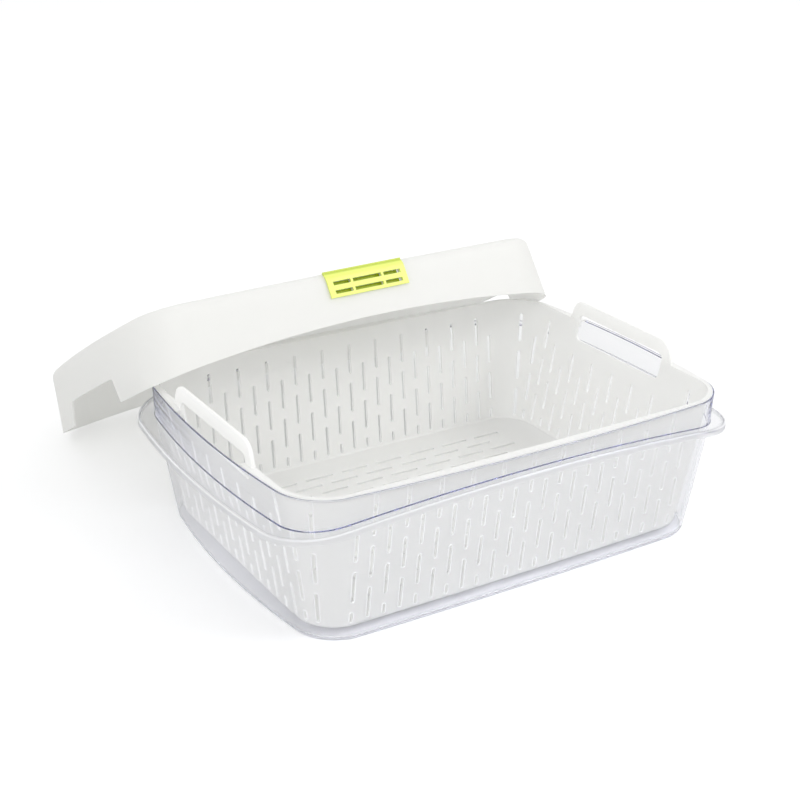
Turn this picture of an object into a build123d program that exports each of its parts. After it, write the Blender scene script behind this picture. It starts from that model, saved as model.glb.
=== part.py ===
from build123d import *
from math import atan2, cos, degrees, hypot, radians, sin, sqrt
import os

# Clear tub: the rim is its top edge, measured over the outside
rim_length = 370.0
rim_width = 265.6
rim_height = 110.2
rim_end_bow = 768.0
rim_side_bow = 1970.0
rim_corner = 37.3
collar_draft = 1.0
base_length = 342.6
base_width = 243.2
base_end_bow = 618.0
base_side_bow = 6000.0
base_corner = 33.7
base_rounding = 4.0
tub_wall = 2.0
tub_floor = 2.4

# Ledge round the tub: the lid's edge lands on it, and it rises along the long sides
ledge_height = 85.2
ledge_rise = 14.3
ledge_reach_end = 13.0
ledge_reach_side = 8.3
ledge_thickness = 2.0
ledge_lip_depth = 4.9
ledge_lip_thickness = 1.8

# Rebate inside the rim, where the basket's lip sits
rebate_width = 1.2
rebate_depth = 1.2

# Basket: straight sides, so its lip is widest in the middle of the tub's bowed sides
basket_length = 353.2
basket_width = 252.6
basket_corner = 35.5
basket_base_length = 320.0
basket_base_width = 228.0
basket_base_corner = 28.0
basket_side_bow = 9000.0
basket_wall = 1.5
basket_floor = 1.8
basket_raise = 4.4
basket_rounding = 3.0
lip_thickness = 1.7
lip_clearance = 0.3

# Slots in the basket's walls and floor
slot_width = 2.8
slot_length = 24.0
slot_gap = 8.0
slot_pitch = 12.3
high_row_top = 99.5
low_row_top = 82.5
lowest_slot = 10.5
shortest_slot = 6.0
groove_depth = 0.5
corner_column_turn = 29.0
floor_slot_margin = 24.0

# Grips on the short sides of the basket
grip_top = 127.6
grip_foot_width = 123.6
grip_top_width = 112.0
grip_rounding = 13.0
grip_bar = 11.6
grip_hole_width = 101.0
grip_hole_bottom = 95.5
grip_hole_rounding = 5.0
grip_thickness = 2.9
grip_foot_depth = 4.0
grip_edge_rounding = 1.0

# Lid, in its own frame: z is 0 where its edge lands on the ledge at the short ends
lid_overhang = 4.2
lid_height = 54.4
lid_draft = 3.2
lid_wall = 1.8
lid_rounding = 8.0
lid_seat_clearance = 0.3
notch_foot_width = 115.0
notch_top_width = 99.0
notch_height = 20.0
notch_rounding = 4.0

# Vent in the lid's front skirt, and the slide that opens and closes it
vent_width = 70.0
vent_bottom = 33.4
vent_gap = 0.35
vent_thickness = 1.4
vent_wrap = 47.0
vent_bead = 0.9
vent_row_height = 37.6
vent_row_pitch = 6.8
vent_slot_height = 2.9
vent_slot_middle = 25.6
vent_slot_outer = 15.4
vent_bridge = 2.0
vent_travel = 3.4
stud_radius = 1.0
stud_head_radius = 1.7
stud_head_thickness = 1.0
stud_clearance = 0.3
stud_head_gap = 0.6
stud_raise = 1.6

# Where the lid leans: its front edge across the rims, its back edge on the table
lean_angle = 30.25
lean_turn = 2.2
lean_x = -8.3
lean_y = 181.4
lean_z = 61.3

FAR = 400.0


class Oblong:
    """A rounded rectangle with bowed sides, made of eight arcs."""

    def __init__(self, length, width, end_bow, side_bow, corner):
        self.a, self.b = length / 2, width / 2
        self.end_bow, self.side_bow, self.corner = end_bow, side_bow, corner

    def grown(self, by):
        return Oblong(2 * (self.a + by), 2 * (self.b + by), self.end_bow + by,
                      self.side_bow + by, self.corner + by)

    def face(self, z):
        end_centre = (self.a - self.end_bow, 0)
        side_centre = (0, self.b - self.side_bow)
        end_reach = self.end_bow - self.corner
        side_reach = self.side_bow - self.corner
        dx, dy = side_centre[0] - end_centre[0], side_centre[1] - end_centre[1]
        span = hypot(dx, dy)
        along = (end_reach ** 2 - side_reach ** 2 + span ** 2) / (2 * span)
        off = sqrt(end_reach ** 2 - along ** 2)
        cx = end_centre[0] + along * dx / span - off * dy / span
        cy = end_centre[1] + along * dy / span + off * dx / span
        ux, uy = (cx - end_centre[0]) / end_reach, (cy - end_centre[1]) / end_reach
        vx, vy = (cx - side_centre[0]) / side_reach, (cy - side_centre[1]) / side_reach
        mx, my = (ux + vx) / hypot(ux + vx, uy + vy), (uy + vy) / hypot(ux + vx, uy + vy)
        p = (cx + self.corner * ux, cy + self.corner * uy)
        m = (cx + self.corner * mx, cy + self.corner * my)
        q = (cx + self.corner * vx, cy + self.corner * vy)
        points = [(p[0], -p[1]), (self.a, 0), p, m, q, (0, self.b), (-q[0], q[1]), (-m[0], m[1]),
                  (-p[0], p[1]), (-self.a, 0), (-p[0], -p[1]), (-m[0], -m[1]), (-q[0], -q[1]),
                  (0, -self.b), (q[0], -q[1]), (m[0], -m[1])]
        points = [Vector(x, y, z) for x, y in points]
        arcs = [Edge.make_three_point_arc(points[i], points[i + 1], points[(i + 2) % 16])
                for i in range(0, 16, 2)]
        return Face(Wire(arcs))


rim = Oblong(rim_length, rim_width, rim_end_bow, rim_side_bow, rim_corner)
shoulder = rim.grown(-collar_draft)
base = Oblong(base_length, base_width, base_end_bow, base_side_bow, base_corner)
ledge = Oblong(2 * (shoulder.a + ledge_reach_end), 2 * (shoulder.b + ledge_reach_side),
               shoulder.end_bow, shoulder.side_bow, shoulder.corner + ledge_reach_side)
basket_top = Oblong(basket_length, basket_width, basket_side_bow, basket_side_bow, basket_corner)
basket_base = Oblong(basket_base_length, basket_base_width, basket_side_bow, basket_side_bow,
                     basket_base_corner)
basket_underside = tub_floor + basket_raise
lip_underside = rim_height - rebate_depth
lid_edge = rim.grown(lid_overhang)


def tower(*levels):
    """A solid whose walls run straight from one outline to the next."""
    return loft([outline.face(z) for outline, z in levels], ruled=True)


def prism(outline, bottom, top):
    return extrude(outline.face(bottom), top - bottom, dir=(0, 0, 1))


def arched_band(top, depth):
    """A band as long as the ledge that rises over the long sides, from one side to the other."""
    reach = lid_edge.a
    radius = (reach ** 2 + ledge_rise ** 2) / (2 * ledge_rise)
    centre = top + ledge_rise - radius
    end = ledge.a + ledge_reach_end
    end_drop = radius - sqrt(radius ** 2 - end ** 2)
    crown = centre + radius
    upper = ThreePointArc((-end, crown - end_drop), (0, crown), (end, crown - end_drop))
    lower = ThreePointArc((end, crown - end_drop - depth), (0, crown - depth),
                          (-end, crown - end_drop - depth))
    right = Line((end, crown - end_drop), (end, crown - end_drop - depth))
    left = Line((-end, crown - end_drop - depth), (-end, crown - end_drop))
    profile = make_face([upper, right, lower, left])
    return extrude(Plane.XZ * profile, FAR / 2, both=True)


def edges_at(solid, z):
    return [e for e in solid.edges() if abs(e.bounding_box().max.Z - z) < 1e-3
            and abs(e.bounding_box().min.Z - z) < 1e-3]


def tub():
    outside = tower((base, 0), (shoulder, ledge_height), (rim, rim_height))
    outside = fillet(edges_at(outside, 0), base_rounding)
    inside = tower((base.grown(-tub_wall), tub_floor), (shoulder.grown(-tub_wall), ledge_height),
                   (rim.grown(-tub_wall), rim_height))
    inside = fillet(edges_at(inside, tub_floor), base_rounding - tub_wall)
    rebate = prism(rim.grown(rebate_width - tub_wall), lip_underside, rim_height)
    ring = prism(ledge, 0, rim_height) - prism(shoulder.grown(-tub_wall / 2), 0, rim_height)
    hem = prism(ledge, 0, rim_height) - prism(ledge.grown(-ledge_lip_thickness), 0, rim_height)
    shelf = ring & arched_band(ledge_height, ledge_thickness)
    lip = hem & arched_band(ledge_height, ledge_lip_depth)
    return outside + shelf + lip - inside - rebate


def slot_prism(centre_z, length, depth):
    """An upright slot with round ends, from y = 0 to y = -depth."""
    shape = SlotOverall(length, slot_width, rotation=90)
    return Pos(0, 0, centre_z) * extrude(Plane.XZ * shape, depth)


def column(first_top, deep):
    """One column of slots, from its top slot down to the foot of the wall."""
    slots = []
    top = first_top
    while top - lowest_slot > shortest_slot:
        bottom = max(top - slot_length, lowest_slot)
        slots.append(slot_prism((top + bottom) / 2, top - bottom, deep))
        top = bottom - slot_gap
    return slots


def wall_cutters():
    """Slots through the four walls and the corners, and the shallow grooves above the high ones."""
    cutters = []
    step = slot_length + slot_gap
    for turn, half, run in ((0, basket_top.b, basket_top.a), (90, basket_top.a, basket_top.b)):
        half_pitches = int(2 * (run - basket_corner) / slot_pitch)
        for i in range(-half_pitches, half_pitches + 1, 2):
            along = i * slot_pitch / 2
            high = (i + half_pitches) % 4 == 2 if turn == 0 else (i + half_pitches) % 4 == 0
            under_grip = turn == 90 and abs(along) < (grip_foot_width + slot_pitch) / 2
            top = high_row_top if high else low_row_top
            if high and under_grip:
                top -= step
            for side in (turn, turn + 180):
                place = Rot(0, 0, side) * Pos(along, -half / 2, 0)
                cutters += [place * slot for slot in column(top, half)]
                if high and not under_grip:
                    cutters.append(Rot(0, 0, side) * Pos(along, -half, 0) * groove())
    for sx, sy in ((-1, -1), (1, -1), (1, 1), (-1, 1)):
        centre = Pos(sx * (basket_top.a - basket_corner), sy * (basket_top.b - basket_corner), 0)
        diagonal = degrees(atan2(sy, sx)) + 90
        to_short_side = sx * sy * corner_column_turn
        reach = 2 * basket_corner
        cutters += [centre * Rot(0, 0, diagonal) * slot for slot in column(high_row_top, reach)]
        cutters.append(centre * Rot(0, 0, diagonal) * Pos(0, -basket_corner, 0) * groove())
        cutters += [centre * Rot(0, 0, diagonal - to_short_side) * slot
                    for slot in column(low_row_top, reach)]
    return cutters


def groove():
    """A shallow groove from a high slot up to the lip."""
    length = lip_underside - high_row_top + slot_width
    return Pos(0, 0, lip_underside - length / 2) * Box(slot_width, 2 * groove_depth, length)


def floor_cutters():
    """Rows of slots across the basket's floor, every other row moved by half a slot."""
    cutters = []
    reach_x = basket_base.a - floor_slot_margin
    reach_y = basket_base.b - floor_slot_margin
    step = slot_length + slot_gap
    rows = int(reach_y / slot_pitch)
    for row in range(-rows, rows + 1):
        shift = step / 2 if row % 2 else 0
        count = int((reach_x - shift) / step) + 1
        for i in range(-count, count + 1):
            x = i * step + shift
            if abs(x) + slot_length / 2 <= reach_x:
                slot = extrude(SlotOverall(slot_length, slot_width), 4 * basket_floor)
                cutters.append(Pos(x, row * slot_pitch, basket_underside - basket_floor) * slot)
    return cutters


def grip_profile():
    """The outline of a grip seen from the short side, standing on the lip."""
    foot, top = grip_foot_width / 2, grip_top_width / 2
    low = lip_underside - grip_foot_depth
    outline = Polyline((-foot, low), (-foot, rim_height), (-top, grip_top), (top, grip_top),
                       (foot, rim_height), (foot, low), close=True)
    shape = make_face(outline)
    corners = [v for v in shape.vertices() if v.Y > rim_height + 1]
    return fillet(corners, grip_rounding)


def grip_hole_profile():
    height = grip_top - grip_bar - grip_hole_bottom
    shape = RectangleRounded(grip_hole_width, height, grip_hole_rounding)
    return Pos(0, grip_hole_bottom + height / 2) * shape


def grip():
    """A flat grip with a finger hole, rounded along all its edges but the foot."""
    hole = extrude(Plane.YZ * grip_hole_profile(), grip_thickness)
    plate = extrude(Plane.YZ * grip_profile(), grip_thickness) - hole
    foot = edges_at(plate, lip_underside - grip_foot_depth)
    rims = [e for e in plate.edges() if e.bounding_box().size.X < 1e-3 and e not in foot]
    return fillet(rims, grip_edge_rounding)


def basket():
    shell = tower((basket_base, basket_underside), (basket_top, lip_underside + lip_thickness))
    shell = fillet(edges_at(shell, basket_underside), basket_rounding)
    lip = prism(rim.grown(rebate_width - tub_wall - lip_clearance), lip_underside,
                lip_underside + lip_thickness)
    hollow = tower((basket_base.grown(-basket_wall), basket_underside + basket_floor),
                   (basket_top.grown(-basket_wall), lip_underside + lip_thickness))
    hollow = fillet(edges_at(hollow, basket_underside + basket_floor), basket_rounding - basket_wall)
    body = shell + lip - hollow
    inner = basket_top.a - basket_wall
    hole = extrude(Plane.YZ * grip_hole_profile(), rim.a)
    for turn in (0, 180):
        body += Rot(0, 0, turn) * Pos(inner, 0, 0) * grip()
    for turn in (0, 180):
        body -= Rot(0, 0, turn) * Pos(inner - 3 * grip_thickness, 0, 0) * hole
    return body - (wall_cutters() + floor_cutters())


def lid_skirt_slope():
    return lid_draft / (lid_height - lid_rounding)


def lid_shell(inwards, top):
    """A cap with drafted sides and a rounded top edge, as a solid block."""
    slope = lid_skirt_slope()
    block = tower((lid_edge.grown(-inwards), 0), (lid_edge.grown(-inwards - slope * top), top))
    return fillet(edges_at(block, top), lid_rounding - inwards / 2)


def vent_cutters(depth):
    """Two rows of three long slots, cut along y."""
    cutters = []
    offset = vent_slot_middle / 2 + vent_bridge + vent_slot_outer / 2
    for row in (0, 1):
        z = vent_row_height + row * vent_row_pitch
        for x, width in ((-offset, vent_slot_outer), (0, vent_slot_middle), (offset, vent_slot_outer)):
            cutters.append(Pos(x, 0, z) * Box(width, depth, vent_slot_height))
    return cutters


def stud_x():
    return (vent_width / 2 + vent_slot_middle / 2 + vent_bridge + vent_slot_outer) / 2


def stud_z():
    return vent_row_height + stud_raise


def skirt_y(z):
    """The outer face of the front skirt at its middle, at a height in the lid's frame."""
    return -(lid_edge.b - lid_skirt_slope() * z)


def guide_slot(x):
    """The short upright slot that a stud of the vent slide runs in."""
    radius = stud_radius + stud_clearance
    height = 2 * radius + vent_travel
    shape = SlotOverall(height, 2 * radius, rotation=90)
    return Pos(x, 0, stud_z() + vent_travel / 2) * extrude(Plane.XZ * shape, 4 * lid_wall, both=True)


def notch():
    foot, top = notch_foot_width / 2, notch_top_width / 2
    outline = Polyline((-foot, -1), (-top, notch_height), (top, notch_height), (foot, -1), close=True)
    shape = make_face(outline)
    shape = fillet([v for v in shape.vertices() if v.Y > 0], notch_rounding)
    return extrude(Plane.YZ * shape, FAR, both=True)


def lid():
    cap = lid_shell(0, lid_height) - lid_shell(lid_wall, lid_height - lid_wall)
    cap -= Pos(0, 0, -ledge_height + lid_seat_clearance) * arched_band(ledge_height, ledge_height)
    cap -= notch()
    at_skirt = Pos(0, skirt_y(stud_z()), 0)
    holes = vent_cutters(8 * lid_wall) + [guide_slot(s * stud_x()) for s in (-1, 1)]
    return cap - [at_skirt * hole for hole in holes]


def vent_slide():
    """A thin plate over the front skirt that wraps round the lid's top edge, with two studs."""
    slope = lid_skirt_slope()
    tilt = atan2(slope, 1)
    near = vent_gap
    far = vent_gap + vent_thickness
    bend_z = lid_height - lid_rounding
    centre = (skirt_y(bend_z) + lid_rounding, bend_z)

    def on_plate(z, off):
        return (skirt_y(z) - off * cos(tilt), z + off * sin(tilt))

    def on_bend(turn, off):
        reach = lid_rounding + off
        angle = tilt + radians(turn)
        return (centre[0] - reach * cos(angle), centre[1] + reach * sin(angle))

    outer = Polyline(on_plate(vent_bottom, far), on_bend(0, far))
    outer_bend = ThreePointArc(on_bend(0, far), on_bend(vent_wrap / 2, far), on_bend(vent_wrap, far))
    end = Line(on_bend(vent_wrap, far), on_bend(vent_wrap, near))
    inner_bend = ThreePointArc(on_bend(vent_wrap, near), on_bend(vent_wrap / 2, near), on_bend(0, near))
    inner = Polyline(on_bend(0, near), on_plate(vent_bottom, near))
    foot = Line(on_plate(vent_bottom, near), on_plate(vent_bottom, far))
    section = make_face([outer, outer_bend, end, inner_bend, inner, foot])
    plate = extrude(Plane.YZ * section, vent_width / 2, both=True)
    bead_at = on_bend(vent_wrap, far)
    bead = Cylinder(vent_bead, vent_width, rotation=(0, 90, 0))
    plate += Pos(0, bead_at[0], bead_at[1]) * bead
    at_skirt = Pos(0, skirt_y(stud_z()), 0)
    plate -= [at_skirt * c for c in vent_cutters(8 * lid_wall)]
    return plate + [stud(s * stud_x()) for s in (-1, 1)]


def stud(x):
    """A stud through the skirt with a head inside, square to the skirt."""
    slope = lid_skirt_slope()
    length = vent_gap + vent_thickness / 2 + lid_wall + stud_head_gap + stud_head_thickness
    shank = Cylinder(stud_radius, length, align=(Align.CENTER, Align.CENTER, Align.MIN))
    head = Cylinder(stud_head_radius, stud_head_thickness, align=(Align.CENTER, Align.CENTER, Align.MAX))
    pin = Pos(0, 0, -vent_gap - vent_thickness / 2) * shank
    pin += Pos(0, 0, lid_wall + stud_head_gap + stud_head_thickness) * head
    return Pos(x, skirt_y(stud_z()), stud_z()) * Rot(-90 - degrees(atan2(slope, 1)), 0, 0) * pin


def leaning(solid):
    return Pos(lean_x, lean_y, lean_z) * Rot(0, 0, lean_turn) * Rot(-lean_angle, 0, 0) * solid


def main():
    os.makedirs("parts", exist_ok=True)
    export_step(tub(), "parts/tub.step")
    export_step(basket(), "parts/basket.step")
    export_step(leaning(lid()), "parts/lid.step")
    export_step(leaning(vent_slide()), "parts/vent_slide.step")


main()
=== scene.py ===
from math import atan2, cos, hypot, pi, radians, sin, sqrt

import bpy
from mathutils import Matrix, Vector


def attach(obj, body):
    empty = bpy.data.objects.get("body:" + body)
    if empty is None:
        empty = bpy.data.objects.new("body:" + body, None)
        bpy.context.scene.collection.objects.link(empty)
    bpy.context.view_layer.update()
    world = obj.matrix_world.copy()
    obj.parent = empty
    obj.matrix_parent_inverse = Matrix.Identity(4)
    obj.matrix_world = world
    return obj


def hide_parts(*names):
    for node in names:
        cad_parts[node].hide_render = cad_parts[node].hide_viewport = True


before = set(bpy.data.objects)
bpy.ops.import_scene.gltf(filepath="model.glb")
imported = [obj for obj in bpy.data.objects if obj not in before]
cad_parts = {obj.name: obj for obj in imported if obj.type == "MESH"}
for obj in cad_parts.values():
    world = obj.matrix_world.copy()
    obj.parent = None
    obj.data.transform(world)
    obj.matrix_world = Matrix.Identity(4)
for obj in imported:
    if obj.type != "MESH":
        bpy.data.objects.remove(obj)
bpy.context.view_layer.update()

# The table and the studio: a white sweep with no visible edge, under a plain white sky, with one broad lamp
# on the right and one on the left. Where the table lies under the tub and is seen through it, a pool of
# painted light brightens its shade. The camera stands where the photograph's stood, in front of the left
# corner and a little above.
TABLE_SIZE, TABLE_GAP = 12.0, 0.0002
TABLE_COLOUR, TABLE_ROUGHNESS, TABLE_GLOSS = (0.83, 0.833, 0.838, 1), 0.9, 0.1
TABLE_GLOW, TABLE_GLOW_IN_PLASTIC = 0.22, 0.06
# A pool of painted light on the table under the tub, seen only through the plastic, that brightens the
# shade there.
PAINTED_POOL_GLOW, PAINTED_POOL_LENGTH, PAINTED_POOL_WIDTH, PAINTED_POOL_EDGE = 0.28, 0.46, 0.35, 0.35
WHITE = (1, 1, 1, 1)
SKY_LIGHT, SKY_SEEN = 0.90, 1.0
LAMP_AIM = (0, 0.1, 0.05)
CAMERA_AZIMUTH = radians(-32.14)
CAMERA_ELEVATION = radians(23.40)
CAMERA_ROLL = radians(0.79)
CAMERA_DISTANCE = 1.10603
CAMERA_AIM_HEIGHT = 0.070
CAMERA_AIM_RIGHT = -0.02381
CAMERA_AIM_UP = 0.02473
CAMERA_LENS = 66.96
SENSOR_WIDTH = 36.0


class Sheet:
    """A node tree to write on: each call adds one node, wired to the values it is given."""

    def __init__(self, tree):
        self.nodes, self.links = tree.nodes, tree.links

    def put(self, kind, values=None, **settings):
        node = self.nodes.new(kind)
        for name, value in settings.items():
            setattr(node, name, value)
        for name, value in (values or {}).items():
            self.feed(node.inputs[name], value)
        return node

    def feed(self, socket, value):
        if isinstance(value, bpy.types.NodeSocket):
            self.links.new(value, socket)
        else:
            socket.default_value = value

    def math(self, operation, *values, clamp=False):
        node = self.put("ShaderNodeMath", dict(enumerate(values)), operation=operation, use_clamp=clamp)
        return node.outputs[0]


def new_material(name):
    """A material, its tree to write on, and its Principled shader."""
    material = bpy.data.materials.new(name)
    material.use_nodes = True
    sheet = Sheet(material.node_tree)
    return material, sheet, sheet.nodes["Principled BSDF"]


def mesh_piece(name, points, edges, faces):
    """A piece made of plain points, edges and faces."""
    mesh = bpy.data.meshes.new(name)
    mesh.from_pydata(points, edges, faces)
    piece = bpy.data.objects.new(name, mesh)
    bpy.context.scene.collection.objects.link(piece)
    return piece


half, top = TABLE_SIZE / 2, -TABLE_GAP
corners = [(-half, -half, top), (half, -half, top), (half, half, top), (-half, half, top)]
table = mesh_piece("table", corners, [], [(0, 1, 2, 3)])
white_top, sheet, shader = new_material("white_table")
shader.inputs["Base Color"].default_value = TABLE_COLOUR
shader.inputs["Roughness"].default_value = TABLE_ROUGHNESS
shader.inputs["Specular IOR Level"].default_value = TABLE_GLOSS
shader.inputs["Emission Color"].default_value = WHITE
path = sheet.put("ShaderNodeLightPath")
in_plastic = sheet.math("MAXIMUM", path.outputs["Is Transmission Ray"], path.outputs["Is Glossy Ray"])
# The painted pool of light: glow that grows towards the middle of the tub's footprint, for rays that have
# passed through the plastic.
place = sheet.put("ShaderNodeMapping", {"Vector": sheet.put("ShaderNodeTexCoord").outputs["Object"],
                                        "Scale": (2 / PAINTED_POOL_LENGTH, 2 / PAINTED_POOL_WIDTH, 0)})
off_middle = sheet.put("ShaderNodeVectorMath", {0: place.outputs["Vector"]}, operation="LENGTH")
painted_pool = sheet.put("ShaderNodeMapRange", {
    "Value": off_middle.outputs["Value"], "From Min": 1.0, "From Max": 1.0 - PAINTED_POOL_EDGE,
    "To Min": TABLE_GLOW_IN_PLASTIC, "To Max": PAINTED_POOL_GLOW})
glow = sheet.math("MULTIPLY", in_plastic, painted_pool.outputs["Result"])
glow = sheet.math("MULTIPLY_ADD", path.outputs["Is Camera Ray"], TABLE_GLOW, glow)
sheet.feed(shader.inputs["Emission Strength"], glow)
table.data.materials.append(white_top)

world = bpy.data.worlds.new("pale_sky")
bpy.context.scene.world = world
world.use_nodes = True
sheet = Sheet(world.node_tree)
sky = sheet.nodes["Background"]
sky.inputs["Color"].default_value = WHITE
path = sheet.put("ShaderNodeLightPath")
seen = sheet.math("MAXIMUM", path.outputs["Is Camera Ray"], path.outputs["Is Transmission Ray"])
seen = sheet.math("MAXIMUM", seen, path.outputs["Is Glossy Ray"])
sky_level = sheet.put("ShaderNodeMapRange", {"Value": seen, "To Min": SKY_LIGHT, "To Max": SKY_SEEN})
sheet.feed(sky.inputs["Strength"], sky_level.outputs["Result"])


def soft_lamp(name, place, size, power):
    """A square lamp that faces the object."""
    data = bpy.data.lights.new(name, "AREA")
    data.shape = "SQUARE"
    data.size = size
    data.energy = power
    lamp = bpy.data.objects.new(name, data)
    lamp.location = place
    lamp.rotation_euler = (Vector(LAMP_AIM) - Vector(place)).to_track_quat("-Z", "Y").to_euler()
    bpy.context.scene.collection.objects.link(lamp)


soft_lamp("key_lamp", place=(1.3, -1.0, 1.5), size=0.9, power=11.0)
soft_lamp("fill_lamp", place=(-1.4, -1.2, 1.3), size=1.2, power=9.5)

level_right = Vector((cos(CAMERA_AZIMUTH), sin(CAMERA_AZIMUTH), 0))
back = Vector((sin(CAMERA_AZIMUTH) * cos(CAMERA_ELEVATION), -cos(CAMERA_AZIMUTH) * cos(CAMERA_ELEVATION),
               sin(CAMERA_ELEVATION)))
level_up = back.cross(level_right)
right = level_right * cos(CAMERA_ROLL) + level_up * sin(CAMERA_ROLL)
up = level_up * cos(CAMERA_ROLL) - level_right * sin(CAMERA_ROLL)
aim = Vector((0, 0, CAMERA_AIM_HEIGHT)) + level_right * CAMERA_AIM_RIGHT + level_up * CAMERA_AIM_UP
turn = Matrix((right, up, back)).transposed()
lens = bpy.data.cameras.new("photo_camera")
lens.lens = CAMERA_LENS
lens.sensor_width = SENSOR_WIDTH
camera = bpy.data.objects.new("photo_camera", lens)
camera.matrix_world = Matrix.Translation(aim + back * CAMERA_DISTANCE) @ turn.to_4x4()
bpy.context.scene.collection.objects.link(camera)
bpy.context.scene.camera = camera
bpy.context.scene.view_settings.view_transform = "Standard"

# The tub: one moulding in clear styrene-like plastic, nearly colourless through its two-millimetre walls
# and blue-violet only along them. Its rounded section is swept round three oblong outlines. Its foot and
# the hem of its ledge are faintly frosted. The hem's two edges carry pale lines of painted highlight: white
# mixed into the clear plastic along the middle of their bends.
MM = 0.001
RIM = dict(length=370.0, width=265.6, end_bow=768.0, side_bow=1970.0, corner=37.3)
BASE = dict(length=342.6, width=243.2, end_bow=618.0, side_bow=6000.0, corner=33.7)
LEDGE_REACH_END, LEDGE_REACH_SIDE = 13.0, 8.3
LEDGE = dict(length=367.9 + 2 * LEDGE_REACH_END, width=263.58 + 2 * LEDGE_REACH_SIDE,
             end_bow=767.0, side_bow=1969.0, corner=36.3 + LEDGE_REACH_SIDE)
RIM_HEIGHT, LEDGE_HEIGHT, LEDGE_RISE, LEDGE_SPAN = 110.2, 85.2, 14.3, 378.4
COLLAR_DRAFT = 1.0
WALL, FLOOR, BASE_ROUNDING = 2.0, 2.4, 4.0
LEDGE_THICKNESS, HEM_DEPTH, HEM_THICKNESS = 2.0, 4.9, 1.8
REBATE_INSET, REBATE_DEPTH = 0.8, 1.2
UNDER_LEDGE_BEND, HEM_INNER_BEND, HEM_OUTER_BEND = 0.4, 0.7, 0.8
LEDGE_TOP_BEND, COLLAR_FOOT_BEND = 1.2, 0.2
RIM_OUTER_BEND, RIM_INNER_BEND, SEAT_INNER_BEND, SEAT_OUTER_BEND = 0.4, 0.35, 0.15, 0.3
FLAT_MARGIN, SHORT_MARGIN = 0.3, 0.1
BEND_STEPS, FOOT_STEPS = 6, 8
OUTER_WALL_HEIGHTS, INNER_WALL_HEIGHTS = (25.0, 50.0, 70.0, 82.0), (LEDGE_HEIGHT, 70.0, 50.0, 25.0)
FLOOR_SPREADS = (0.0, 0.3, 0.6, 0.85, 0.97)
ARCS_AROUND, SEGMENTS_PER_ARC, SEAM_REACH = 8, 72, 0.002
UP, DOWN, OUTWARDS, INWARDS = (0, 1), (0, -1), (-1, 0), (1, 0)
CLEAR_IOR, CLEAR_COLOUR = 1.38, (0.995, 0.995, 0.988, 1)
CLEAR_TINT, CLEAR_DENSITY = (0.20, 0.24, 0.66, 1), 15.0
CLEAR_SHADOW = (0.985, 0.987, 0.99, 1)
MARK_SIZE = 420.0
FROST_TOP, FOOT_FROST, HEM_FROST, HEM_FADE = 7.0, 0.5, 0.26, 3.0
# The hem's pale edge lines are painted highlight; lower down, the same white is the foot's frosty haze.
FOOT_HAZE, EDGE_PAINTED_HIGHLIGHT, HAZE_AND_HIGHLIGHT_COLOUR = 0.6, 0.75, (0.95, 0.95, 0.955, 1)
BOUNCES_IN_PLASTIC, SOFT_BOUNCES, CLEAR_LAYERS = 64, 12, 24


def bend(inset, height, radius, coming, going, ledge=0, arch=0, steps=BEND_STEPS, margin=FLAT_MARGIN,
         pale=0):
    """A rounded corner of the section, with one more point on each side to keep the flats flat. Where it is
    pale at all, it is palest in the middle of its arc: a painted highlight line."""
    x, z = inset - coming[0] * radius, height - coming[1] * radius
    points = [(x - coming[0] * margin, z - coming[1] * margin, 0)] if margin else []
    for i in range(steps + 1):
        along, aside = radius * sin(i * pi / 2 / steps), radius * (1 - cos(i * pi / 2 / steps))
        points.append((x + coming[0] * along + going[0] * aside, z + coming[1] * along + going[1] * aside,
                       pale * (1 - abs(2 * i / steps - 1))))
    if margin:
        points.append((points[-1][0] + going[0] * margin, points[-1][1] + going[1] * margin, 0))
    return [(x, z, ledge, arch, 1.0, pale) for x, z, pale in points]


def tub_section():
    """The wall from the middle of the underside, over the rim, to the middle of the floor: how far in from
    its outline, how high, whether on the ledge's outline, whether arched, how far spread, and how pale with
    painted highlight."""
    ledge_under = LEDGE_HEIGHT - LEDGE_THICKNESS
    hem_foot = LEDGE_HEIGHT - HEM_DEPTH
    seat = RIM_HEIGHT - REBATE_DEPTH
    on_hem, thin = dict(ledge=1, arch=1), dict(margin=SHORT_MARGIN)
    section = [(BASE_ROUNDING, 0.0, 0, 0, spread, 0) for spread in FLOOR_SPREADS]
    section += bend(0, 0, BASE_ROUNDING, OUTWARDS, UP, steps=FOOT_STEPS)
    section += [(0, height, 0, 0, 1.0, 0) for height in OUTER_WALL_HEIGHTS]
    section += bend(0, ledge_under, UNDER_LEDGE_BEND, UP, OUTWARDS, arch=1)
    section += bend(HEM_THICKNESS, ledge_under, UNDER_LEDGE_BEND, OUTWARDS, DOWN, **on_hem)
    section += bend(HEM_THICKNESS, hem_foot, HEM_INNER_BEND, DOWN, OUTWARDS, **on_hem, **thin)
    # The hem's foot and top bends are marked pale: painted highlight lines.
    section += bend(0, hem_foot, HEM_OUTER_BEND, OUTWARDS, UP, **on_hem, **thin, pale=1)
    section += bend(0, LEDGE_HEIGHT, LEDGE_TOP_BEND, UP, INWARDS, **on_hem, pale=1)
    section += bend(0, LEDGE_HEIGHT, COLLAR_FOOT_BEND, INWARDS, UP, arch=1)
    section += bend(0, RIM_HEIGHT, RIM_OUTER_BEND, UP, INWARDS, margin=0)
    section += bend(REBATE_INSET, RIM_HEIGHT, RIM_INNER_BEND, INWARDS, DOWN, margin=0)
    section += bend(REBATE_INSET, seat, SEAT_INNER_BEND, DOWN, INWARDS, **thin)
    section += bend(WALL, seat, SEAT_OUTER_BEND, INWARDS, DOWN, **thin)
    section += [(WALL, height, 0, 0, 1.0, 0) for height in INNER_WALL_HEIGHTS]
    section += bend(WALL, FLOOR, BASE_ROUNDING - WALL, DOWN, INWARDS, steps=FOOT_STEPS)
    return section + [(BASE_ROUNDING, FLOOR, 0, 0, spread, 0) for spread in reversed(FLOOR_SPREADS)]


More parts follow.
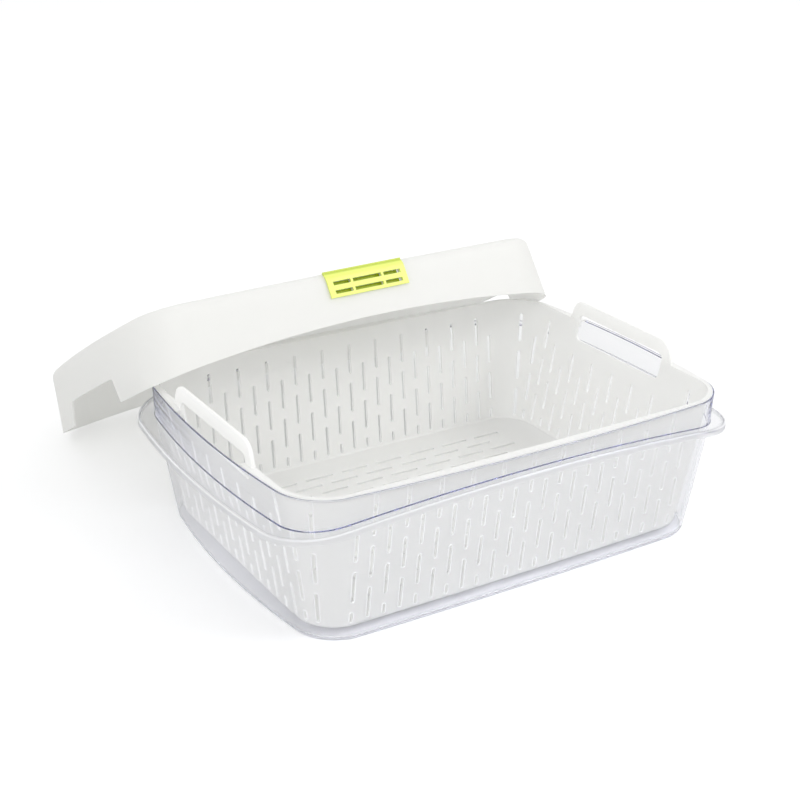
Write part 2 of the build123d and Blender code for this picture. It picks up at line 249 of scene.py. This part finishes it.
def outline_values(length, width, end_bow, side_bow, corner):
    """The values that a rounded oblong needs: its arcs' radii and centres, and where they meet."""
    end_x, side_y = length / 2 - end_bow, width / 2 - side_bow
    end_reach, side_reach, span = end_bow - corner, side_bow - corner, hypot(end_x, side_y)
    along = (end_reach ** 2 - side_reach ** 2 + span ** 2) / (2 * span)
    off = sqrt(end_reach ** 2 - along ** 2)
    x = end_x - (along * end_x + off * side_y) / span
    y = (along * side_y - off * end_x) / span
    return {"End Centre": end_x * MM, "Side Centre": side_y * MM, "End Bow": end_bow * MM,
            "Side Bow": side_bow * MM, "Corner": corner * MM, "Corner X": x * MM, "Corner Y": y * MM,
            "First Turn": atan2(y, x - end_x), "Last Turn": atan2(y - side_y, x)}


def float_sockets(tree, in_out, values):
    """Gives a node group a named number for each value."""
    for name, value in values.items():
        socket = tree.interface.new_socket(name=name, in_out=in_out, socket_type="NodeSocketFloat")
        if in_out == "INPUT":
            socket.default_value = value


def own_place(sheet):
    """Where each point is."""
    return sheet.put("GeometryNodeInputPosition").outputs[0]


def kept_value(sheet, name):
    """The value that each point keeps under a name."""
    return sheet.put("GeometryNodeInputNamedAttribute", {"Name": name}, data_type="FLOAT").outputs[0]


def keep_value(sheet, geometry, name, value):
    """Keeps a value with each point, under a name."""
    node = sheet.put("GeometryNodeStoreNamedAttribute", {
        "Geometry": geometry, "Name": name, "Value": value}, data_type="FLOAT", domain="POINT")
    return node.outputs[0]


def finish_tree(sheet, geometry, material):
    """Ends a tree: smooth, with no instances left, and in its material."""
    smooth = sheet.put("GeometryNodeSetShadeSmooth", {"Geometry": geometry})
    real = sheet.put("GeometryNodeRealizeInstances", {"Geometry": smooth.outputs[0]})
    painted = sheet.put("GeometryNodeSetMaterial", {"Geometry": real.outputs[0], "Material": material})
    sheet.feed(sheet.put("NodeGroupOutput").inputs[0], painted.outputs[0])


def oblong_group():
    """A node group that gives a point on a quarter of a rounded oblong. Along runs from 0 in the middle
    of the short side to 2 in the middle of the long side, with the corner's arc from 0.5 to 1.5."""
    tree = bpy.data.node_groups.new("rounded_oblong", "GeometryNodeTree")
    float_sockets(tree, "INPUT", {"Along": 0.0, "Inset": 0.0, **outline_values(**RIM)})
    float_sockets(tree, "OUTPUT", {"X": 0.0, "Y": 0.0})
    sheet = Sheet(tree)
    given = sheet.put("NodeGroupInput").outputs
    result = sheet.put("NodeGroupOutput").inputs
    on_end = sheet.math("LESS_THAN", given["Along"], 0.5)
    on_side = sheet.math("GREATER_THAN", given["Along"], 1.5)
    on_corner = sheet.math("SUBTRACT", sheet.math("SUBTRACT", 1.0, on_end), on_side)
    end_part = sheet.math("MULTIPLY", given["Along"], 2.0, clamp=True)
    corner_part = sheet.math("SUBTRACT", given["Along"], 0.5, clamp=True)
    side_part = sheet.math("MULTIPLY", sheet.math("SUBTRACT", given["Along"], 1.5), 2.0, clamp=True)
    corner_turn = sheet.math("SUBTRACT", given["Last Turn"], given["First Turn"])
    side_turn = sheet.math("SUBTRACT", pi / 2, given["Last Turn"])
    angle = sheet.math("MULTIPLY", end_part, given["First Turn"])
    angle = sheet.math("MULTIPLY_ADD", corner_part, corner_turn, angle)
    angle = sheet.math("MULTIPLY_ADD", side_part, side_turn, angle)
    radius = sheet.math("MULTIPLY", on_end, given["End Bow"])
    radius = sheet.math("MULTIPLY_ADD", on_side, given["Side Bow"], radius)
    radius = sheet.math("MULTIPLY_ADD", on_corner, given["Corner"], radius)
    radius = sheet.math("SUBTRACT", radius, given["Inset"])
    centre_x = sheet.math("MULTIPLY", on_end, given["End Centre"])
    centre_x = sheet.math("MULTIPLY_ADD", on_corner, given["Corner X"], centre_x)
    centre_y = sheet.math("MULTIPLY", on_side, given["Side Centre"])
    centre_y = sheet.math("MULTIPLY_ADD", on_corner, given["Corner Y"], centre_y)
    x = sheet.math("MULTIPLY_ADD", radius, sheet.math("COSINE", angle), centre_x)
    y = sheet.math("MULTIPLY_ADD", radius, sheet.math("SINE", angle), centre_y)
    sheet.feed(result["X"], x)
    sheet.feed(result["Y"], y)
    return tree


def tub_tree(material):
    """Sweeps a section, given as a line of points, round the rim, base and ledge outlines."""
    tree = bpy.data.node_groups.new("tub_by_section", "GeometryNodeTree")
    tree.interface.new_socket(name="Section", in_out="INPUT", socket_type="NodeSocketGeometry")
    reach = LEDGE_SPAN / 2
    arch_radius = (reach ** 2 + LEDGE_RISE ** 2) / (2 * LEDGE_RISE)
    float_sockets(tree, "INPUT", {
        "Segments Per Arc": SEGMENTS_PER_ARC, "Rim Height": RIM_HEIGHT * MM,
        "Ledge Height": LEDGE_HEIGHT * MM, "Ledge Rise": LEDGE_RISE * MM,
        "Arch Radius": arch_radius * MM, "Collar Draft": COLLAR_DRAFT * MM})
    tree.interface.new_socket(name="Tub", in_out="OUTPUT", socket_type="NodeSocketGeometry")
    sheet = Sheet(tree)
    given = sheet.put("NodeGroupInput").outputs
    count = sheet.put("GeometryNodeAttributeDomainSize", {"Geometry": given["Section"]})
    rows = count.outputs["Point Count"]
    around = sheet.math("ADD", sheet.math("MULTIPLY", given["Segments Per Arc"], ARCS_AROUND), 1.0)
    grid = sheet.put("GeometryNodeMeshGrid", {"Size X": ARCS_AROUND, "Size Y": 1.0, "Vertices X": around,
                                              "Vertices Y": rows})
    place = sheet.put("ShaderNodeSeparateXYZ", {"Vector": own_place(sheet)})
    turn = sheet.math("ADD", place.outputs["X"], ARCS_AROUND / 2)
    row = sheet.math("ADD", place.outputs["Y"], 0.5)
    row = sheet.math("ROUND", sheet.math("MULTIPLY", row, sheet.math("SUBTRACT", rows, 1.0)))

    def of_section(value, data_type="FLOAT"):
        """The value at the section's own point for this row."""
        sample = sheet.put("GeometryNodeSampleIndex", {"Geometry": given["Section"], "Index": row},
                           data_type=data_type)
        sheet.links.new(value, next(s for s in sample.inputs if s.name == "Value" and s.enabled))
        return next(s for s in sample.outputs if s.enabled)

    level = sheet.put("ShaderNodeSeparateXYZ", {"Vector": of_section(own_place(sheet), "FLOAT_VECTOR")})
    inset, height = level.outputs["X"], level.outputs["Z"]
    ledge, arch, spread, pale = [
        of_section(kept_value(sheet, name)) for name in ("ledge", "arch", "spread", "pale")]
    quarter = sheet.math("PINGPONG", turn, 2.0)
    group = oblong_group()

    def on(outline, inset):
        """The point on an outline, moved in from it."""
        node = sheet.put("GeometryNodeGroup", node_tree=group)
        for name, value in {"Along": quarter, "Inset": inset, **outline_values(**outline)}.items():
            sheet.feed(node.inputs[name], value)
        return node.outputs["X"], node.outputs["Y"]

    def blend(first, second, share):
        """The point that lies a share of the way from the first to the second."""
        return [sheet.math("MULTIPLY_ADD", sheet.math("SUBTRACT", b, a), share, a)
                for a, b in zip(first, second)]

    ledge_point = on(LEDGE, inset)
    arched_at = blend(on(RIM, inset), ledge_point, ledge)[0]
    square = sheet.math("POWER", given["Arch Radius"], 2.0)
    square = sheet.math("SUBTRACT", square, sheet.math("POWER", arched_at, 2.0))
    drop = sheet.math("SUBTRACT", given["Arch Radius"], sheet.math("SQRT", square))
    rise = sheet.math("SUBTRACT", given["Ledge Rise"], drop)
    z = sheet.math("MULTIPLY_ADD", arch, rise, height)
    up = sheet.math("DIVIDE", z, given["Ledge Height"], clamp=True)
    collar = sheet.math("SUBTRACT", given["Rim Height"], given["Ledge Height"])
    above = sheet.math("DIVIDE", sheet.math("SUBTRACT", z, given["Ledge Height"]), collar, clamp=True)
    draft = sheet.math("MULTIPLY", given["Collar Draft"], sheet.math("SUBTRACT", 1.0, above))
    wall_point = blend(on(BASE, inset), on(RIM, sheet.math("ADD", inset, draft)), up)
    x, y = [sheet.math("MULTIPLY", value, spread) for value in blend(wall_point, ledge_point, ledge)]
    swing = sheet.math("MULTIPLY", turn, 2 * pi / ARCS_AROUND)
    x = sheet.math("MULTIPLY", x, sheet.math("SIGN", sheet.math("COSINE", swing)))
    y = sheet.math("MULTIPLY", y, sheet.math("SIGN", sheet.math("SINE", swing)))
    point = sheet.put("ShaderNodeCombineXYZ", {"X": x, "Y": y, "Z": z})
    marked = keep_value(sheet, grid.outputs["Mesh"], "hem", ledge)
    marked = keep_value(sheet, marked, "pale_line", pale)
    shell = sheet.put("GeometryNodeSetPosition", {"Geometry": marked, "Position": point.outputs[0]})
    closed = sheet.put("GeometryNodeMergeByDistance", {
        "Geometry": shell.outputs[0], "Distance": SEAM_REACH * MM})
    finish_tree(sheet, closed.outputs[0], material)
    return tree


def grow(piece, tree, inputs=()):
    """Runs a Geometry Nodes tree on a piece and keeps the result as its plain mesh."""
    modifier = piece.modifiers.new(tree.name, "NODES")
    modifier.node_group = tree
    for identifier, value in inputs:
        modifier[identifier] = value
    bpy.context.view_layer.update()
    grown = bpy.data.meshes.new_from_object(piece.evaluated_get(bpy.context.evaluated_depsgraph_get()))
    piece.modifiers.remove(modifier)
    piece.data = grown
    grown.name = piece.name
    return piece


def moulded_surface():
    """A node group for moulded plastic: slow waves from the mould and fine handling marks."""
    group = bpy.data.node_groups.new("moulded_surface", "ShaderNodeTree")
    float_sockets(group, "INPUT", {
        "Wave Size": 18.0, "Mark Size": MARK_SIZE, "Roughness": 0.3, "Variation": 0.06})
    float_sockets(group, "OUTPUT", {"Roughness": 0.0, "Height": 0.0})
    sheet = Sheet(group)
    given = sheet.put("NodeGroupInput").outputs
    result = sheet.put("NodeGroupOutput").inputs
    place = sheet.put("ShaderNodeTexCoord").outputs["Object"]
    waves = sheet.put("ShaderNodeTexNoise", {"Vector": place, "Scale": given["Wave Size"], "Detail": 2.0})
    marks = sheet.put("ShaderNodeTexNoise", {"Vector": place, "Scale": given["Mark Size"], "Detail": 6.0})
    centred = sheet.math("SUBTRACT", marks.outputs["Fac"], 0.5)
    uneven = sheet.math("MULTIPLY_ADD", centred, given["Variation"], given["Roughness"])
    sheet.feed(result["Roughness"], uneven)
    sheet.feed(result["Height"], waves.outputs["Fac"])
    return group


moulded = moulded_surface()


def give_surface(sheet, shader, roughness, variation, wave_size, bump_distance):
    """Feeds a shader's roughness and normal from the moulded surface."""
    surface = sheet.put("ShaderNodeGroup", node_tree=moulded)
    surface.inputs["Wave Size"].default_value = wave_size
    surface.inputs["Roughness"].default_value = roughness
    surface.inputs["Variation"].default_value = variation
    bump = sheet.put("ShaderNodeBump", {"Strength": 1.0, "Distance": bump_distance,
                                        "Height": surface.outputs["Height"]})
    sheet.feed(shader.inputs["Roughness"], surface.outputs["Roughness"])
    sheet.feed(shader.inputs["Normal"], bump.outputs["Normal"])
    return bump


def mixed_shader(sheet, share, first, second):
    """A shader that goes from the first to the second."""
    node = sheet.put("ShaderNodeMixShader", {"Fac": share})
    sheet.links.new(first.outputs[0], node.inputs[1])
    sheet.links.new(second.outputs[0], node.inputs[2])
    return node


clear_plastic, sheet, shader = new_material("clear_plastic")
shader.inputs["Base Color"].default_value = CLEAR_COLOUR
shader.inputs["IOR"].default_value = CLEAR_IOR
shader.inputs["Transmission Weight"].default_value = 1.0
give_surface(sheet, shader, roughness=0.02, variation=0.02, wave_size=9.0, bump_distance=0.00001)
place = sheet.put("ShaderNodeTexCoord").outputs["Object"]
height = sheet.put("ShaderNodeSeparateXYZ", {"Vector": place}).outputs["Z"]
low = sheet.put("ShaderNodeMapRange", {"Value": height, "From Min": FROST_TOP * MM, "From Max": 0.0})
low = low.outputs["Result"]
hem = sheet.put("ShaderNodeAttribute", attribute_name="hem").outputs["Fac"]
hem = sheet.math("POWER", hem, HEM_FADE)
frost = sheet.math("MULTIPLY_ADD", hem, HEM_FROST, sheet.math("MULTIPLY", low, FOOT_FROST))
polish = shader.inputs["Roughness"].links[0].from_socket
sheet.feed(shader.inputs["Roughness"], sheet.math("ADD", polish, frost))
# Painted highlight: white diffuse mixed into the clear plastic along the middle of the hem's two outer
# bends; near the foot the same white is a faint frosty haze.
pale_line = sheet.put("ShaderNodeAttribute", attribute_name="pale_line").outputs["Fac"]
pale = sheet.math("MULTIPLY_ADD", pale_line, EDGE_PAINTED_HIGHLIGHT, sheet.math("MULTIPLY", low, FOOT_HAZE))
haze_and_highlight = sheet.put("ShaderNodeBsdfDiffuse", {"Color": HAZE_AND_HIGHLIGHT_COLOUR})
hazed_and_highlit = mixed_shader(sheet, pale, shader, haze_and_highlight)
film = sheet.put("ShaderNodeBsdfTransparent", {"Color": CLEAR_SHADOW})
path = sheet.put("ShaderNodeLightPath")
lit_through = mixed_shader(sheet, path.outputs["Is Shadow Ray"], hazed_and_highlit, film)
tint = sheet.put("ShaderNodeVolumeAbsorption", {"Color": CLEAR_TINT, "Density": CLEAR_DENSITY})
result = sheet.nodes["Material Output"].inputs
sheet.feed(result["Surface"], lit_through.outputs["Shader"])
sheet.feed(result["Volume"], tint.outputs["Volume"])

# Light is passed on many times inside clear and milky walls before it comes out again.
bounces = bpy.context.scene.cycles
bounces.max_bounces = BOUNCES_IN_PLASTIC
bounces.diffuse_bounces = SOFT_BOUNCES
bounces.glossy_bounces = BOUNCES_IN_PLASTIC
bounces.transmission_bounces = BOUNCES_IN_PLASTIC
bounces.transparent_max_bounces = CLEAR_LAYERS

section = tub_section()
line = [(inset * MM, 0, height * MM) for inset, height, *_ in section]
clear_tub = mesh_piece("clear_tub", line, [(i, i + 1) for i in range(len(line) - 1)], [])
for index, name in enumerate(("ledge", "arch", "spread", "pale"), start=2):
    share = clear_tub.data.attributes.new(name, "FLOAT", "POINT")
    share.data.foreach_set("value", [float(point[index]) for point in section])
grow(clear_tub, tub_tree(clear_plastic))
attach(clear_tub, "tub")
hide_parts("tub")

# The basket: a thin moulding in milky polypropylene that hangs by its lip in the tub's rim. Light soaks
# through it, so it glows softly. Each slot in its walls has a rolled edge, painted a little paler than the
# wall and given a faint glow of its own: a painted highlight.
SLOT_WIDTH, SLOT_LENGTH, SLOT_GAP, SLOT_PITCH = 2.8, 24.0, 8.0, 12.3
HIGH_ROW_TOP, LOW_ROW_TOP, LOWEST_SLOT, SHORTEST_SLOT, GROOVE_TOP = 99.5, 82.5, 10.5, 6.0, 107.5
BASKET_HALF_LENGTH, BASKET_HALF_WIDTH, BASKET_CORNER = 176.6, 126.3, 35.5
CORNER_COLUMN_TURN = 29.0
GRIP_FOOT_WIDTH = 123.6
EDGE_ROLL, EDGE_POINTS, EDGE_SIDES = 0.45, 12, 5
OFF_THE_WALL, SEARCH_DEPTH = 15.0, 40.0
MILKY_IOR = 1.49
# The rolled edges' paler colour and faint glow are a painted highlight.
BASKET_COLOUR, EDGE_HIGHLIGHT_COLOUR, EDGE_PAINTED_GLOW = (0.972, 0.972, 0.963, 1), (0.99, 0.99, 0.99, 1), 0.07
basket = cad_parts["basket"]


def milky_plastic(name, colour, roughness, through):
    """Milky plastic: a plain shader mixed with one that lets light through the wall."""
    material, sheet, shader = new_material(name)
    shader.inputs["Base Color"].default_value = colour
    shader.inputs["IOR"].default_value = MILKY_IOR
    bump = give_surface(sheet, shader, roughness, variation=0.08, wave_size=30.0, bump_distance=0.00003)
    soaked = sheet.put("ShaderNodeBsdfTranslucent", {"Color": colour, "Normal": bump.outputs["Normal"]})
    mixed = mixed_shader(sheet, through, shader, soaked)
    sheet.feed(sheet.nodes["Material Output"].inputs["Surface"], mixed.outputs["Shader"])
    return material


def slot_column(first_top):
    """The heights of the slots of one column and half the length of their straight part. A slot of the
    highest row has a shallow groove above it, which the rolled edge takes in."""
    top = first_top
    while top - LOWEST_SLOT > SHORTEST_SLOT:
        bottom = max(top - SLOT_LENGTH, LOWEST_SLOT)
        edge_top = GROOVE_TOP if top == HIGH_ROW_TOP else top
        yield (edge_top + bottom) / 2, (edge_top - bottom - SLOT_WIDTH) / 2
        top = bottom - SLOT_GAP


def slot_places():
    """Every wall slot: its point on the wall, the way it faces, and half its straight part."""
    places = []

    def add(centre, along, reach, side, top):
        """One column, at a distance along the wall that faces a side."""
        turn = radians(side)
        x = centre[0] + along * cos(turn) + reach * sin(turn)
        y = centre[1] + along * sin(turn) - reach * cos(turn)
        places.extend((x, y, z, turn, run) for z, run in slot_column(top))

    for side in (0, 90, 180, 270):
        across = side % 180 == 90
        reach, run = BASKET_HALF_WIDTH, BASKET_HALF_LENGTH
        if across:
            reach, run = run, reach
        half_pitches = int(2 * (run - BASKET_CORNER) / SLOT_PITCH)
        for i in range(-half_pitches, half_pitches + 1, 2):
            along = i * SLOT_PITCH / 2
            high = (i + half_pitches) % 4 == (0 if across else 2)
            under_grip = across and abs(along) < (GRIP_FOOT_WIDTH + SLOT_PITCH) / 2
            top = HIGH_ROW_TOP if high else LOW_ROW_TOP
            if high and under_grip:
                top -= SLOT_LENGTH + SLOT_GAP
            add((0, 0), along, reach, side, top)
    for sx, sy, diagonal in ((-1, -1, -45), (1, -1, 45), (1, 1, 135), (-1, 1, 225)):
        centre = (sx * (BASKET_HALF_LENGTH - BASKET_CORNER), sy * (BASKET_HALF_WIDTH - BASKET_CORNER))
        add(centre, 0, BASKET_CORNER, diagonal, HIGH_ROW_TOP)
        add(centre, 0, BASKET_CORNER, diagonal - sx * sy * CORNER_COLUMN_TURN, LOW_ROW_TOP)
    return places


def slot_edge_tree(material):
    """Lays a thin rolled edge round each slot, on the outer face of the basket's wall."""
    tree = bpy.data.node_groups.new("slot_edges", "GeometryNodeTree")
    tree.interface.new_socket(name="Places", in_out="INPUT", socket_type="NodeSocketGeometry")
    tree.interface.new_socket(name="Wall", in_out="INPUT", socket_type="NodeSocketObject")
    float_sockets(tree, "INPUT", {"Slot Width": SLOT_WIDTH * MM, "Edge Roll": EDGE_ROLL * MM})
    tree.interface.new_socket(name="Edges", in_out="OUTPUT", socket_type="NodeSocketGeometry")
    sheet = Sheet(tree)
    given = sheet.put("NodeGroupInput").outputs
    half_roll = sheet.math("MULTIPLY", given["Edge Roll"], 0.5)
    radius = sheet.math("MULTIPLY_ADD", given["Slot Width"], 0.5, half_roll)
    ring = sheet.put("GeometryNodeMeshCircle", {"Vertices": EDGE_POINTS, "Radius": radius})
    ring = sheet.put("GeometryNodeTransform", {
        "Geometry": ring.outputs[0], "Rotation": (0, 0, pi / EDGE_POINTS)})
    at = sheet.put("ShaderNodeSeparateXYZ", {"Vector": own_place(sheet)})
    ring = keep_value(sheet, ring.outputs[0], "end", sheet.math("SIGN", at.outputs["Y"]))
    facing = sheet.put("ShaderNodeCombineXYZ", {"X": pi / 2, "Z": kept_value(sheet, "turn")})
    rings = sheet.put("GeometryNodeInstanceOnPoints", {
        "Points": given["Places"], "Instance": ring, "Rotation": facing.outputs[0]})
    rings = sheet.put("GeometryNodeRealizeInstances", {"Geometry": rings.outputs[0]})
    stretch = sheet.math("MULTIPLY", kept_value(sheet, "end"), kept_value(sheet, "run"))
    stretch = sheet.put("ShaderNodeCombineXYZ", {"Z": stretch})
    rings = sheet.put("GeometryNodeSetPosition", {
        "Geometry": rings.outputs[0], "Offset": stretch.outputs[0]})
    wall = sheet.put("GeometryNodeObjectInfo", {"Object": given["Wall"]})
    turn = kept_value(sheet, "turn")
    outwards = sheet.put("ShaderNodeCombineXYZ", {
        "X": sheet.math("SINE", turn), "Y": sheet.math("MULTIPLY", sheet.math("COSINE", turn), -1.0)})
    inwards, off_wall = [
        sheet.put("ShaderNodeVectorMath", {0: outwards.outputs[0], "Scale": scale}, operation="SCALE")
        for scale in (-1.0, OFF_THE_WALL * MM)]
    start = sheet.put("ShaderNodeVectorMath", {0: off_wall.outputs[0], 1: own_place(sheet)},
                      operation="ADD")
    hit = sheet.put("GeometryNodeRaycast", {
        "Target Geometry": wall.outputs["Geometry"], "Source Position": start.outputs[0],
        "Ray Direction": inwards.outputs[0], "Ray Length": SEARCH_DEPTH * MM})
    rings = sheet.put("GeometryNodeSetPosition", {
        "Geometry": rings.outputs[0], "Selection": hit.outputs["Is Hit"],
        "Position": hit.outputs["Hit Position"]})
    paths = sheet.put("GeometryNodeMeshToCurve", {"Mesh": rings.outputs[0]})
    roll = sheet.put("GeometryNodeCurvePrimitiveCircle", {
        "Resolution": EDGE_SIDES, "Radius": given["Edge Roll"]})
    edges = sheet.put("GeometryNodeCurveToMesh", {
        "Curve": paths.outputs[0], "Profile Curve": roll.outputs[0]})
    finish_tree(sheet, edges.outputs[0], material)
    wall_socket = next(i for i in tree.interface.items_tree if i.name == "Wall")
    return tree, wall_socket.identifier


basket.material_slots[0].material = milky_plastic(
    "milky_basket", BASKET_COLOUR, roughness=0.34, through=0.40)
places = slot_places()
slot_edges = mesh_piece("slot_edges", [(x * MM, y * MM, z * MM) for x, y, z, turn, run in places], [], [])
turns, runs = [place[3] for place in places], [place[4] * MM for place in places]
for name, values in (("turn", turns), ("run", runs)):
    slot_edges.data.attributes.new(name, "FLOAT", "POINT").data.foreach_set("value", values)
# The rolled edges: painted highlight, whiter than the wall and glowing faintly.
milky_edge = milky_plastic("milky_edge", EDGE_HIGHLIGHT_COLOUR, roughness=0.25, through=0.0)
shader = milky_edge.node_tree.nodes["Principled BSDF"]
shader.inputs["Emission Color"].default_value = WHITE
shader.inputs["Emission Strength"].default_value = EDGE_PAINTED_GLOW
edge_tree, wall_input = slot_edge_tree(milky_edge)
grow(slot_edges, edge_tree, [(wall_input, basket)])
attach(slot_edges, "basket")

# The lid: a deep cap in the same milky plastic, with a finer, more matt skin. Its edge follows the
# tub's ledge, and each short side has a notch for the fingers.
LID_COLOUR = (0.938, 0.938, 0.926, 1)
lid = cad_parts["lid"]
lid.material_slots[0].material = milky_plastic("milky_lid", LID_COLOUR, roughness=0.42, through=0.5)

# The vent: a pale lime plate over the lid's slotted field, rolled over its top edge, where the plastic
# is deeper in colour. A lime baffle stands behind the slots, inside the lid, and is seen through them; its
# lime is painted darker than the vent's, a painted shade.
LEAN_PLACE, LEAN_TURN, LEAN_TILT = (-8.3, 181.4, 61.3), 2.2, -30.25
LEAN = (Matrix.Translation([value * MM for value in LEAN_PLACE])
        @ Matrix.Rotation(radians(LEAN_TURN), 4, "Z") @ Matrix.Rotation(radians(LEAN_TILT), 4, "X"))
LID_HALF_WIDTH, LID_SIDE_BOW, LID_WALL = 137.0, 1974.2, 1.8
LID_DRAFT, LID_SKIRT = 3.2, 46.4
BAFFLE_HALF_LENGTH, BAFFLE_FOOT, BAFFLE_TOP = 30.0, 34.5, 49.0
BAFFLE_GAP, BAFFLE_THICKNESS, BAFFLE_ROUNDING = 1.2, 0.8, 0.25
BAFFLE_COLUMNS, BAFFLE_ROWS = 12, 5
BAND_START, BAND_END = 51.6, 52.6
PALE_LIME, DEEP_LIME = (0.78, 0.86, 0.19, 1), (0.56, 0.66, 0.10, 1)
LIME_DEPTH, LIME_REACH = 0.15, (0.002, 0.002, 0.0005)
# The baffle's lime, darker than the vent's own, is painted shade behind the slots.
LIME_IN_PAINTED_SHADE = (0.40, 0.50, 0.006, 1)
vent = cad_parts["vent_slide"]

lime, sheet, shader = new_material("lime_plastic")
place = sheet.put("ShaderNodeTexCoord").outputs["Object"]
up_skirt = LEAN.to_3x3() @ Vector((0, 0, 1))
foot = up_skirt.dot(LEAN.translation)
height = sheet.put("ShaderNodeVectorMath", {0: place, 1: up_skirt}, operation="DOT_PRODUCT")
band = sheet.put("ShaderNodeMapRange", {
    "Value": height.outputs["Value"], "From Min": foot + BAND_START * MM, "From Max": foot + BAND_END * MM})
colour = sheet.put("ShaderNodeMix", {"Factor": band.outputs["Result"]}, data_type="RGBA")
pale, deep = [socket for socket in colour.inputs if socket.type == "RGBA"]
pale.default_value, deep.default_value = PALE_LIME, DEEP_LIME
sheet.feed(shader.inputs["Base Color"], next(s for s in colour.outputs if s.type == "RGBA"))
shader.inputs["Subsurface Weight"].default_value = LIME_DEPTH
shader.inputs["Subsurface Radius"].default_value = LIME_REACH
give_surface(sheet, shader, roughness=0.35, variation=0.08, wave_size=60.0, bump_distance=0.00002)
vent.material_slots[0].material = lime

baffle_points, baffle_faces = [], []
for i in range(BAFFLE_COLUMNS + 1):
    for j in range(BAFFLE_ROWS + 1):
        x = BAFFLE_HALF_LENGTH * (2 * i / BAFFLE_COLUMNS - 1)
        z = BAFFLE_FOOT + (BAFFLE_TOP - BAFFLE_FOOT) * j / BAFFLE_ROWS
        skirt = LID_DRAFT / LID_SKIRT * z + x * x / (2 * LID_SIDE_BOW) - LID_HALF_WIDTH
        y = skirt + LID_WALL + BAFFLE_GAP
        baffle_points.append(LEAN @ Vector((x * MM, y * MM, z * MM)))
        if i and j:
            near, far = (i - 1) * (BAFFLE_ROWS + 1) + j - 1, i * (BAFFLE_ROWS + 1) + j - 1
            baffle_faces.append((near, far, far + 1, near + 1))
baffle = mesh_piece("vent_baffle", baffle_points, [], baffle_faces)
thick = baffle.modifiers.new("thickness", "SOLIDIFY")
thick.thickness = BAFFLE_THICKNESS * MM
thick.offset = -1.0
rounded = baffle.modifiers.new("rounded_edges", "BEVEL")
rounded.width = BAFFLE_ROUNDING * MM
rounded.segments = 2
# The baffle's material: the vent's lime made darker, as painted shade.
lime_in_painted_shade, sheet, shader = new_material("olive_lime_plastic")
shader.inputs["Base Color"].default_value = LIME_IN_PAINTED_SHADE
give_surface(sheet, shader, roughness=0.4, variation=0.08, wave_size=60.0, bump_distance=0.00002)
baffle.data.materials.append(lime_in_painted_shade)
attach(baffle, "lid")
